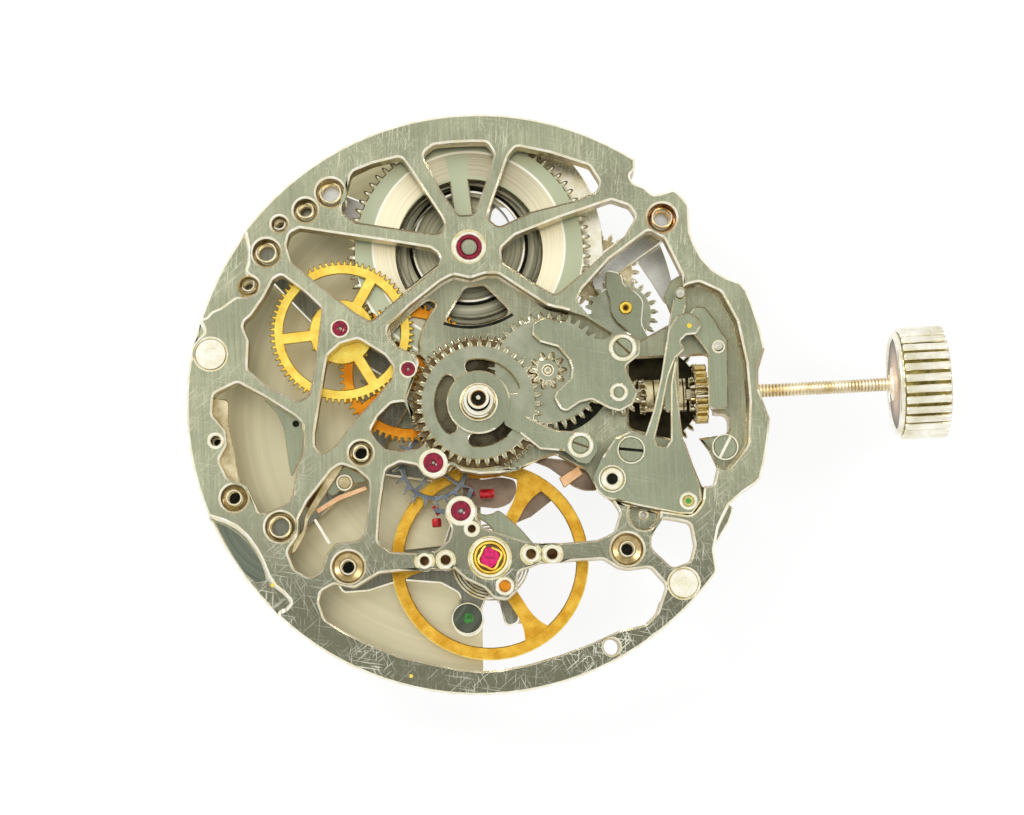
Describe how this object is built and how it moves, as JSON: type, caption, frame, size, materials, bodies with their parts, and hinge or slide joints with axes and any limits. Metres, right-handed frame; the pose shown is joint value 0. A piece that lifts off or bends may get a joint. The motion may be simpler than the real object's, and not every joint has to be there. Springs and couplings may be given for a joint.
{
  "type": "watch movement",
  "caption": "Skeleton self-winding watch movement, dial side up, with keyless work, winding stem and crown.",
  "frame": {"origin": "centre of the hands' axis, in the plane of the plate where the dial rests", "axes": "+Z along the hands' axis to the dial side, +X along the stem to the crown"},
  "size_m": [0.0359, 0.0274, 0.0076],
  "materials": {
    "plate": "straight grained",
    "bridge": "brushed",
    "steel": "satin",
    "gilt": "gilt",
    "ruby": "polished jewel",
    "spring": "polished",
    "crown": "polished",
    "rotor": "circular grained"
  },
  "bodies": {
    "frame": {"main_plate": "plate", "casing_discs": "steel", "train_bridge": "bridge", "barrel_bridge": "bridge", "balance_cock": "bridge", "pallet_bridge": "bridge", "minute_wheel_bridge": "plate", "hour_wheel_guard": "plate", "setting_lever_jumper": "plate", "dial_side_screws": "steel", "bridge_screws": "steel", "plate_jewels": "ruby", "bridge_jewels": "ruby", "centre_tube": "steel", "barrel_bush": "gilt", "dial_side_shock_setting": "gilt", "shock_jewels": "ruby", "regulator": "steel", "hairspring_stud": "steel", "lever_pins": "steel", "rotor_post": "steel", "rotor_screw": "steel"},
    "barrel": {"barrel_drum": "bridge", "barrel_cover": "bridge", "mainspring": "spring"},
    "second_wheel": {"second_wheel": "gilt"},
    "third_wheel": {"third_wheel": "gilt"},
    "fourth_wheel": {"fourth_wheel": "steel"},
    "escape_wheel": {"escape_wheel": "steel"},
    "pallet_fork": {"pallet_fork": "steel", "pallet_stones": "ruby"},
    "balance": {"balance_wheel": "gilt", "balance_staff": "steel", "hairspring_collet": "gilt", "hairspring": "spring"},
    "cannon": {"cannon_pinion": "steel", "cannon_driving_wheel": "gilt"},
    "minute_wheel": {"minute_wheel": "steel"},
    "hour_wheel": {"hour_wheel": "steel"},
    "setting_wheel": {"setting_wheel": "steel"},
    "winding_pinion": {"winding_pinion": "gilt"},
    "stem": {"stem": "steel", "crown": "crown"},
    "clutch_wheel": {"clutch_wheel": "steel"},
    "setting_lever": {"setting_lever": "steel"},
    "yoke": {"yoke": "steel"},
    "crown_wheel": {"crown_wheel": "steel"},
    "first_winding_wheel": {"first_winding_wheel": "steel"},
    "second_winding_wheel": {"second_winding_wheel": "steel"},
    "ratchet": {"barrel_arbor": "steel", "ratchet_wheel": "steel", "ratchet_screw": "steel"},
    "click": {"click": "steel"},
    "transmission_wheel": {"transmission_wheel": "steel"},
    "reversing_pinion": {"reversing_pinion": "steel"},
    "reversing_wheel": {"reversing_wheel": "gilt"},
    "rotor": {"rotor_weight": "rotor", "rotor_gear": "steel"}
  },
  "joints": [
    {"name": "seconds_turn", "type": "hinge", "parent": "frame", "child": "fourth_wheel", "pos_m": [0, 0, -0.0029], "axis": [0, 0, 1], "continuous": true},
    {"name": "third_turn", "type": "hinge", "parent": "frame", "child": "third_wheel", "pos_m": [-0.00322, 0.00171, -0.0015], "axis": [0, 0, 1], "continuous": true},
    {"name": "second_turn", "type": "hinge", "parent": "frame", "child": "second_wheel", "pos_m": [-0.00631, 0.0038, -0.0015], "axis": [0, 0, 1], "continuous": true},
    {"name": "barrel_turn", "type": "hinge", "parent": "frame", "child": "barrel", "pos_m": [-0.00008, 0.00737, -0.002], "axis": [0, 0, 1], "continuous": true},
    {"name": "escape_turn", "type": "hinge", "parent": "frame", "child": "escape_wheel", "pos_m": [-0.00226, -0.00276, -0.0025], "axis": [0, 0, 1], "continuous": true},
    {"name": "cannon_turn", "type": "hinge", "parent": "frame", "child": "cannon", "pos_m": [0, 0, -0.0009], "axis": [0, 0, 1], "continuous": true},
    {"name": "minute_wheel_turn", "type": "hinge", "parent": "frame", "child": "minute_wheel", "pos_m": [0.00334, 0.00137, -0.0007], "axis": [0, 0, 1], "continuous": true},
    {"name": "hour_turn", "type": "hinge", "parent": "frame", "child": "hour_wheel", "pos_m": [0, 0, -0.0004], "axis": [0, 0, 1], "continuous": true},
    {"name": "setting_wheel_turn", "type": "hinge", "parent": "frame", "child": "setting_wheel", "pos_m": [0.0067, 0.00008, -0.0007], "axis": [0, 0, 1], "continuous": true},
    {"name": "pallet_rock", "type": "hinge", "parent": "frame", "child": "pallet_fork", "pos_m": [-0.00109, -0.00507, -0.0025], "axis": [0, 0, 1], "range_deg": [-5, 5]},
    {"name": "balance_swing", "type": "hinge", "parent": "frame", "child": "balance", "pos_m": [0.00016, -0.00735, -0.0033], "axis": [0, 0, 1], "range_deg": [-270, 270], "deforming": ["hairspring"]},
    {"name": "stem_turn", "type": "hinge", "parent": "frame", "child": "winding_pinion", "pos_m": [0, 0, -0.00175], "axis": [1, 0, 0], "continuous": true},
    {"name": "stem_pull", "type": "slide", "parent": "winding_pinion", "child": "stem", "axis": [1, 0, 0], "range_m": [0, 0.0005]},
    {"name": "clutch_slide", "type": "slide", "parent": "winding_pinion", "child": "clutch_wheel", "axis": [1, 0, 0], "range_m": [-0.00046, 0]},
    {"name": "setting_lever_turn", "type": "hinge", "parent": "frame", "child": "setting_lever", "pos_m": [0.01141, 0.00207, -0.00045], "axis": [0, 0, 1], "range_deg": [0, 17]},
    {"name": "yoke_turn", "type": "hinge", "parent": "frame", "child": "yoke", "pos_m": [0.00976, 0.00465, -0.00045], "axis": [0, 0, 1], "range_deg": [-6, 0]},
    {"name": "crown_wheel_turn", "type": "hinge", "parent": "frame", "child": "crown_wheel", "pos_m": [0.0083, 0.00021, -0.0033], "axis": [0, 0, 1], "continuous": true},
    {"name": "first_winding_wheel_turn", "type": "hinge", "parent": "frame", "child": "first_winding_wheel", "pos_m": [0.0071, 0.00422, -0.0033], "axis": [0, 0, 1], "continuous": true},
    {"name": "second_winding_wheel_turn", "type": "hinge", "parent": "frame", "child": "second_winding_wheel", "pos_m": [0.00624, 0.00648, -0.0042], "axis": [0, 0, 1], "continuous": true},
    {"name": "ratchet_turn", "type": "hinge", "parent": "frame", "child": "ratchet", "pos_m": [-0.00008, 0.00737, -0.0042], "axis": [0, 0, 1], "continuous": true, "deforming": ["mainspring"]},
    {"name": "transmission_turn", "type": "hinge", "parent": "frame", "child": "transmission_wheel", "pos_m": [-0.00402, 0.00358, -0.0043], "axis": [0, 0, 1], "continuous": true},
    {"name": "reversing_pinion_turn", "type": "hinge", "parent": "frame", "child": "reversing_pinion", "pos_m": [-0.00354, 0.00097, -0.0044], "axis": [0, 0, 1], "continuous": true},
    {"name": "click_turn", "type": "hinge", "parent": "frame", "child": "click", "pos_m": [0.00434, 0.00972, -0.0042], "axis": [0, 0, 1], "range_deg": [-8, 0]},
    {"name": "rotor_turn", "type": "hinge", "parent": "frame", "child": "rotor", "pos_m": [0, 0, -0.005], "axis": [0, 0, 1], "continuous": true},
    {"name": "reversing_wheel_turn", "type": "hinge", "parent": "frame", "child": "reversing_wheel", "pos_m": [-0.00354, 0.00097, -0.0046], "axis": [0, 0, 1], "continuous": true}
  ],
  "couplings": [
    {"joint": "third_turn", "follows": "seconds_turn", "ratio": -0.125},
    {"joint": "second_turn", "follows": "seconds_turn", "ratio": 0.013889},
    {"joint": "barrel_turn", "follows": "seconds_turn", "ratio": -0.003655},
    {"joint": "escape_turn", "follows": "seconds_turn", "ratio": -9},
    {"joint": "cannon_turn", "follows": "seconds_turn", "ratio": 0.016667},
    {"joint": "minute_wheel_turn", "follows": "seconds_turn", "ratio": -0.0055556},
    {"joint": "hour_turn", "follows": "seconds_turn", "ratio": 0.0013889},
    {"joint": "setting_wheel_turn", "follows": "seconds_turn", "ratio": 0.016667},
    {"joint": "clutch_slide", "follows": "stem_pull", "ratio": -0.9},
    {"joint": "setting_lever_turn", "follows": "stem_pull", "rad_per_m": 484.28},
    {"joint": "yoke_turn", "follows": "stem_pull", "rad_per_m": -169.22},
    {"joint": "crown_wheel_turn", "follows": "stem_turn", "ratio": 0.58824},
    {"joint": "first_winding_wheel_turn", "follows": "stem_turn", "ratio": -0.90909},
    {"joint": "second_winding_wheel_turn", "follows": "stem_turn", "ratio": 0.34091},
    {"joint": "ratchet_turn", "follows": "stem_turn", "ratio": -0.12987},
    {"joint": "transmission_turn", "follows": "stem_turn", "ratio": 0.7438},
    {"joint": "reversing_pinion_turn", "follows": "stem_turn", "ratio": -2.2886},
    {"joint": "reversing_wheel_turn", "follows": "rotor_turn", "ratio": -0.70588}
  ]
}
